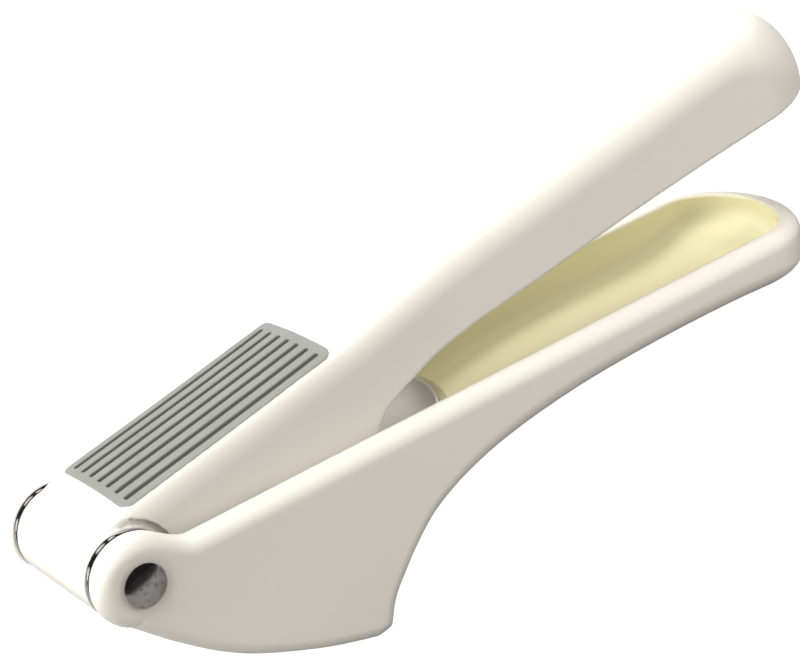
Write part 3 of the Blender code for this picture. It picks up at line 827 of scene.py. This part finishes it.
def make_plunger():
    outline = floor_outline(BLOCK_FRONT, BLOCK_REAR, BLOCK_HALF, 2.0)
    rings = []
    steps = 18
    top, bottom = BELLY_ANGLE - 0.5, PLUNGER_FACE_ANGLE + 1.4
    for i in range(steps + 1):
        a = math.radians(top + (bottom - top) * i / steps)
        rings.append([(u * math.cos(a), y, u * math.sin(a)) for u, y in outline])
    block = loft("plunger_moulding", rings)
    face = floor_outline(BLOCK_FRONT + 0.3, BLOCK_REAR - 0.2, BLOCK_HALF - 0.2, 1.8)
    plate = in_plane("plunger_face_plate", PLUNGER_FACE_ANGLE, face, 0.0, PLATE_THICK)
    for radius in SCREW_RADII:
        cut(block, along_screw("hole", radius, [(-3.0, SCREW_HOLE), (23.0, SCREW_HOLE)]))
        cut(plate, along_screw("seat", radius, [(-1.0, SCREW_SEAT), (0.4, SCREW_SEAT), (2.0, SCREW_HOLE)]))
    room = [(10, -20), (70, -20), (70, 20), (10, 20)]
    cut(block, in_plane("plate_room", PLUNGER_FACE_ANGLE, room, -6, PLATE_THICK + GAP))
    return placed(block, 0.5), placed(plate, 0.18, 2, 50.0)


def make_screw(name, radius):
    """A countersunk screw with a crossed slot that narrows as it goes in."""
    screw = along_screw(name, radius, SCREW_STATIONS)
    point, up = screw_frame(radius)
    along = SIDEWAYS.cross(up)
    for one, two in ((along, SIDEWAYS), (SIDEWAYS, along)):
        slot_rings = []
        for distance, half in ((-0.5, 1.5), (0.85, 0.9)):
            at = point + up * distance
            slot_rings.append([at + one * a * half + two * b * SLOT_HALF for a, b in SQUARE])
        cut(screw, loft("slot", slot_rings))
    return placed(screw)


# ---------------------------------------------------------------- materials


class Look:
    """One procedural material: a shader, and helpers that add nodes to it."""

    def __init__(self, name):
        self.material = bpy.data.materials.new(name)
        self.material.use_nodes = True
        self.tree = self.material.node_tree
        self.shader = self.tree.nodes["Principled BSDF"]
        self.place = self.tree.nodes.new("ShaderNodeTexCoord").outputs["Object"]

    def set(self, **values):
        for name, value in values.items():
            self.shader.inputs[name.replace("_", " ")].default_value = value

    def node(self, kind, **inputs):
        made = self.tree.nodes.new(kind)
        for name, value in inputs.items():
            socket = made.inputs[name.replace("_", " ")]
            if isinstance(value, bpy.types.NodeSocket):
                self.tree.links.new(value, socket)
            else:
                socket.default_value = value
        return made

    def noise(self, scale, detail=3.0, rough=0.5, stretch=None):
        place = self.place
        if stretch:
            place = self.node("ShaderNodeMapping", Vector=place, Scale=stretch).outputs["Vector"]
        made = self.node("ShaderNodeTexNoise", Vector=place, Scale=scale, Detail=detail, Roughness=rough)
        return made.outputs["Fac"]

    def ramp(self, value, low, high, start, end):
        """value from low..high mapped to start..end."""
        made = self.node("ShaderNodeMapRange", Value=value)
        for name, number in (("From Min", low), ("From Max", high), ("To Min", start), ("To Max", end)):
            made.inputs[name].default_value = number
        return made.outputs["Result"]

    def blend(self, factor, a, b):
        made = self.tree.nodes.new("ShaderNodeMix")
        made.data_type = "RGBA"
        for index, value in ((0, factor), (6, a), (7, b)):
            if isinstance(value, bpy.types.NodeSocket):
                self.tree.links.new(value, made.inputs[index])
            elif index:
                made.inputs[index].default_value = (*value, 1.0)
            else:
                made.inputs[index].default_value = value
        return made.outputs[2]

    def maths(self, operation, a, b):
        made = self.tree.nodes.new("ShaderNodeMath")
        made.operation = operation
        for index, value in enumerate((a, b)):
            if isinstance(value, bpy.types.NodeSocket):
                self.tree.links.new(value, made.inputs[index])
            else:
                made.inputs[index].default_value = value
        return made.outputs[0]

    def attribute(self, name):
        made = self.tree.nodes.new("ShaderNodeAttribute")
        made.attribute_name = name
        return made.outputs["Fac"]

    def edges(self):
        """1 along convex edges, 0 on the flat."""
        made = self.tree.nodes.new("ShaderNodeNewGeometry")
        return self.ramp(made.outputs["Pointiness"], 0.52, 0.62, 0.0, 1.0)

    def bump(self, height, distance, strength):
        made = self.node("ShaderNodeBump", Height=height, Distance=distance, Strength=strength)
        return made.outputs["Normal"]

    def link(self, socket, name):
        self.tree.links.new(socket, self.shader.inputs[name])


IVORY = (0.80, 0.768, 0.698)
IVORY_EDGE_HIGHLIGHT = (0.86, 0.83, 0.74)
TRAY_PAINTED_BOUNCE_YELLOW = (0.85, 0.80, 0.49)
GRIP_GREY = (0.232, 0.234, 0.222)
GRIP_GREY_DARK = (0.208, 0.21, 0.199)
GROOVE_SHADE_GREY = (0.15, 0.152, 0.138)
CHROME = (0.80, 0.79, 0.80)
CHROME_DARK = (0.58, 0.56, 0.57)
NICKEL = (0.50, 0.475, 0.475)
NICKEL_DARK = (0.39, 0.365, 0.37)
NICKEL_SPECK = (0.14, 0.125, 0.13)
HOPPER_STEEL = (1.0, 0.97, 0.95)
SHEET_STEEL = (0.70, 0.69, 0.69)
ACETAL = (0.74, 0.74, 0.70)
ACETAL_DARK = (0.66, 0.66, 0.62)
FLOOR_TONE = (0.22, 0.217, 0.211)
FLOOR_FRONT_TONE = (0.02, 0.02, 0.02)


def ivory_look(name, tray):
    """Glossy ivory plastic with a faint moulded skin. The tray's polished inside gets a painted yellow that
    stands in for light bounced round it, and convex edges get a painted highlight.
    """
    look = Look(name)
    cloud = look.noise(22.0, 1.0)
    fine = look.noise(900.0, 2.0)
    colour = look.blend(look.ramp(cloud, 0.0, 1.0, 0.0, 1.0), IVORY, tuple(c * 0.98 for c in IVORY))
    rough = look.ramp(cloud, 0.0, 1.0, 0.27, 0.29)
    if tray:
        # painted light: inside the tray the colour turns yellower, standing in for light bounced round the
        # tray; the same mask also makes it glossier
        tray_bounce_and_polish = look.attribute("tray")
        colour = look.blend(tray_bounce_and_polish, colour, TRAY_PAINTED_BOUNCE_YELLOW)
        rough = look.maths("SUBTRACT", rough, look.maths("MULTIPLY", tray_bounce_and_polish, 0.13))
    # painted highlight: convex edges are lightened towards a paler ivory, and made a little rougher
    edge = look.edges()
    colour = look.blend(look.maths("MULTIPLY", edge, 0.25), colour, IVORY_EDGE_HIGHLIGHT)
    rough = look.maths("ADD", rough, look.maths("MULTIPLY", edge, 0.06))
    look.link(colour, "Base Color")
    look.link(rough, "Roughness")
    look.set(IOR=1.5, Subsurface_Weight=0.12, Subsurface_Scale=0.003, Subsurface_Radius=(1.0, 0.8, 0.4))
    look.link(look.bump(fine, 0.00002, 0.4), "Normal")
    return look.material


def grey_look():
    """Matt grey soft grip, with painted shade down its grooves."""
    look = Look("grey_soft_grip_skin")
    grain, cloud = look.noise(2600.0, 2.0), look.noise(120.0, 3.0)
    colour = look.blend(look.ramp(cloud, 0.3, 0.7, 0.0, 1.0), GRIP_GREY, GRIP_GREY_DARK)
    # painted shade: the grip darkens down its grooves
    colour = look.blend(look.attribute("groove"), colour, GROOVE_SHADE_GREY)
    look.link(colour, "Base Color")
    look.link(look.ramp(grain, 0.3, 0.7, 0.5, 0.64), "Roughness")
    look.link(look.bump(grain, 0.00004, 0.6), "Normal")
    look.set(IOR=1.45)
    return look.material


def chrome_look():
    """Bright chrome with fine handling marks."""
    look = Look("chrome_plate")
    marks = look.noise(500.0, 6.0, 0.7, (1.0, 1.0, 0.15))
    blotch = look.noise(900.0, 3.0, 0.6)
    colour = look.blend(look.ramp(blotch, 0.4, 0.65, 0.0, 1.0), CHROME, CHROME_DARK)
    look.link(colour, "Base Color")
    look.link(look.ramp(marks, 0.35, 0.7, 0.05, 0.16), "Roughness")
    look.link(look.bump(marks, 0.00002, 0.4), "Normal")
    look.set(Metallic=1.0)
    return look.material


def nickel_look():
    """The pin's duller plate, speckled with small marks."""
    look = Look("nickel_plate")
    specks, blotch = look.noise(1000.0, 4.0, 0.65), look.noise(420.0, 2.0)
    colour = look.blend(look.ramp(blotch, 0.3, 0.7, 0.0, 1.0), NICKEL, NICKEL_DARK)
    colour = look.blend(look.ramp(specks, 0.56, 0.64, 0.0, 0.7), colour, NICKEL_SPECK)
    look.link(colour, "Base Color")
    look.link(look.ramp(specks, 0.3, 0.7, 0.10, 0.24), "Roughness")
    look.link(look.bump(specks, 0.00002, 0.5), "Normal")
    look.set(Metallic=1.0)
    return look.material


def steel_look(name, grain_scale, tone, metallic):
    """Drawn stainless steel, brushed one way. Low metallic keeps it light in the shaded tub."""
    look = Look(name)
    grain = look.noise(240.0, 4.0, 0.6, grain_scale)
    cloud = look.noise(90.0, 3.0)
    colour = look.blend(look.ramp(grain, 0.35, 0.65, 0.0, 1.0), tone, tuple(c * 0.92 for c in tone))
    colour = look.blend(look.ramp(cloud, 0.45, 0.7, 0.0, 0.35), colour, tuple(c * 0.88 for c in tone))
    look.link(colour, "Base Color")
    look.link(look.ramp(grain, 0.3, 0.7, 0.38, 0.5), "Roughness")
    look.link(look.bump(grain, 0.00003, 0.5), "Normal")
    look.set(Metallic=metallic)
    return look.material


def acetal_look():
    """Plain white bearing plastic."""
    look = Look("acetal_bearing")
    grain = look.noise(700.0, 3.0)
    look.link(look.blend(grain, ACETAL, ACETAL_DARK), "Base Color")
    look.link(look.ramp(grain, 0.3, 0.7, 0.32, 0.45), "Roughness")
    look.link(look.bump(grain, 0.00002, 0.4), "Normal")
    return look.material


def floor_look():
    """Paper that the camera sees as white, and that lights the press as a grey sheet, dark in front."""
    look = Look("white_paper")
    grain = look.noise(300.0, 3.0)
    split = look.node("ShaderNodeSeparateXYZ", Vector=look.place)
    front = look.ramp(split.outputs["Y"], -0.15, -0.12, 1.0, 0.0)
    tone = look.blend(grain, FLOOR_TONE, tuple(c * 0.94 for c in FLOOR_TONE))
    look.link(look.blend(front, tone, FLOOR_FRONT_TONE), "Base Color")
    look.link(look.ramp(grain, 0.3, 0.7, 0.6, 0.75), "Roughness")
    seen = look.tree.nodes.new("ShaderNodeLightPath").outputs["Is Camera Ray"]
    look.set(Emission_Color=(1.0, 1.0, 1.0, 1.0))
    look.link(seen, "Emission Strength")
    return look.material


# ---------------------------------------------------------------- the press

ivory_lower = ivory_look("ivory_plastic_lower", True)
ivory = ivory_look("ivory_plastic_lever", False)
chrome = chrome_look()
drawn_steel = steel_look("drawn_steel", (1.0, 0.25, 6.0), HOPPER_STEEL, 0.05)
sheet_steel = steel_look("sheet_steel", (0.5, 8.0, 1.0), SHEET_STEEL, 1.0)

stand_in(make_lower(), "lower_body", ivory_lower)
stand_in(make_upper(), "upper_handle", ivory)
stand_in(make_inlay(), "grip_inlay", grey_look())
stand_in(make_hopper(), "hopper_basket", drawn_steel)
stand_in(make_sieve(), "sieve_plate", sheet_steel)
nickel = nickel_look()
stand_in(make_pin(), "hinge_pin", nickel)
stand_in(make_pin_cap(), "hinge_pin_cap", nickel)
for side_name, side_sign in (("near", -1), ("far", 1)):
    faces = sorted(side_sign * (BARREL_HALF + WASHER_PLAY + t) for t in (0.0, WASHER_THICK))
    washer = turned_ring(
        f"chrome_washer_{side_name}", *faces, PIN_RADIUS + BORE_CLEARANCE, BARREL_RADIUS - 0.02, 0.22
    )
    stand_in(washer, f"hinge_washer_{side_name}", chrome)
sleeve = turned_ring(
    "pivot_sleeve", -BARREL_HALF, BARREL_HALF, PIN_RADIUS + BORE_CLEARANCE, SLEEVE_RADIUS, 0.15
)
stand_in(sleeve, "hinge_sleeve", acetal_look())
block, plate = make_plunger()
stand_in(block, "plunger_block", ivory)
stand_in(plate, "plunger_plate", sheet_steel)
for where, at in zip(("front", "rear"), SCREW_RADII):
    stand_in(make_screw(f"cross_screw_{where}", at), f"plunger_screw_{where}", sheet_steel)


# ---------------------------------------------------------------- stage

FLOOR_HALF = 6.0
# What shines in the chrome and the plastic: each panel's direction, reach and soft edge in degrees, and level
SKY_PANELS = [
    ((-0.08, 0.79, 0.60), 7, 3, 0.9),
    ((-0.58, 0.79, 0.19), 7, 3, 1.1),
    ((0.27, 0.79, 0.55), 4, 2, 1.2),
]
floor_mesh = bpy.data.meshes.new("floor")
floor_mesh.from_pydata(
    [(a * FLOOR_HALF, b * FLOOR_HALF, 0.0) for a, b in SQUARE], [], [(0, 1, 2, 3)]
)
floor = bpy.data.objects.new("floor", floor_mesh)
floor.data.materials.append(floor_look())
bpy.context.scene.collection.objects.link(floor)


def lamp(name, kind, energy, towards):
    """A light that only shades: what shines in the glossy surfaces is the sky's panels."""
    data = bpy.data.lights.new(name, kind)
    data.energy = energy
    data.color = (1.0, 0.99, 0.965)
    made = bpy.data.objects.new(name, data)
    made.rotation_mode = "QUATERNION"
    made.rotation_quaternion = Vector(towards).to_track_quat("Z", "Y")
    made.visible_glossy = False
    bpy.context.scene.collection.objects.link(made)
    return made


# Soft suns from behind, from overhead and from the left, and a weak near panel at the front right
lamp("back", "SUN", 3.3, (-0.30, 0.62, 0.72)).data.angle = math.radians(50)
lamp("overhead", "SUN", 2.0, (-0.10, -0.12, 0.98)).data.angle = math.radians(40)
lamp("left", "SUN", 2.0, (-0.92, -0.14, 0.28)).data.angle = math.radians(60)
front = lamp("front", "AREA", 1.55, (0.50, -0.50, 0.18))
front.data.size = 0.4
front.location = (0.49, -0.50, 0.21)

# The sky: the camera sees white, matt surfaces a bright ceiling over a dark horizon, and glossy surfaces
# a few bright panels in the dark
world = bpy.data.worlds.new("studio")
world.use_nodes = True
sky = world.node_tree
direction = sky.nodes.new("ShaderNodeTexCoord").outputs["Generated"]
path = sky.nodes.new("ShaderNodeLightPath").outputs


def sky_node(kind, *values, **settings):
    """A node of the sky's, with its first inputs joined or set."""
    made = sky.nodes.new(kind)
    for name, value in settings.items():
        setattr(made, name, value)
    for socket, value in zip((i for i in made.inputs if i.enabled), values):
        if isinstance(value, bpy.types.NodeSocket):
            sky.links.new(value, socket)
        else:
            socket.default_value = value
    return next(o for o in made.outputs if o.enabled)


height = sky_node("ShaderNodeSeparateXYZ", direction).node.outputs["Z"]
ceiling = sky_node("ShaderNodeMapRange", height, 0.50, 0.62, 0.05, 0.95)
shine = 0.02
for towards, spread, soft, level in SKY_PANELS:
    aim = Vector(towards).normalized()
    nearness = sky_node("ShaderNodeVectorMath", direction, tuple(aim), operation="DOT_PRODUCT")
    nearness = nearness.node.outputs["Value"]
    limits = [math.cos(math.radians(spread + soft)), math.cos(math.radians(spread))]
    panel = sky_node("ShaderNodeMapRange", nearness, *limits, 0.0, level, interpolation_type="SMOOTHSTEP")
    shine = sky_node("ShaderNodeMath", shine, panel, operation="ADD")
strength = sky_node("ShaderNodeMix", path["Is Glossy Ray"], ceiling, shine)
strength = sky_node("ShaderNodeMix", path["Is Camera Ray"], strength, 1.0)
sky.links.new(strength, sky.nodes["Background"].inputs["Strength"])
sky.nodes["Background"].inputs["Color"].default_value = (1.0, 1.0, 1.0, 1.0)
bpy.context.scene.world = world

# Camera, placed in the press frame
CAMERA_AT = Vector((-134.9, -368.8, 202.2))
CAMERA_RIGHT = Vector((0.799, -0.564, -0.207))
CAMERA_DOWN = Vector((-0.393, -0.230, -0.890))
CAMERA_FORWARD = Vector((0.454, 0.793, -0.406))
CAMERA_LENS = 103.5
camera_data = bpy.data.cameras.new("camera")
camera_data.lens = CAMERA_LENS
camera_data.sensor_width = 36.0
camera_data.clip_start, camera_data.clip_end = 0.01, 50.0
camera = bpy.data.objects.new("camera", camera_data)
turn = Matrix((CAMERA_RIGHT, -CAMERA_DOWN, -CAMERA_FORWARD)).transposed()
facing = (PRESS.to_3x3() * (1 / MM)) @ turn
camera.rotation_mode = "QUATERNION"
camera.rotation_quaternion = facing.to_quaternion()
camera.location = PRESS @ CAMERA_AT
bpy.context.scene.collection.objects.link(camera)
bpy.context.scene.camera = camera

bpy.context.scene.view_settings.view_transform = "Standard"
bpy.context.scene.view_settings.look = "None"
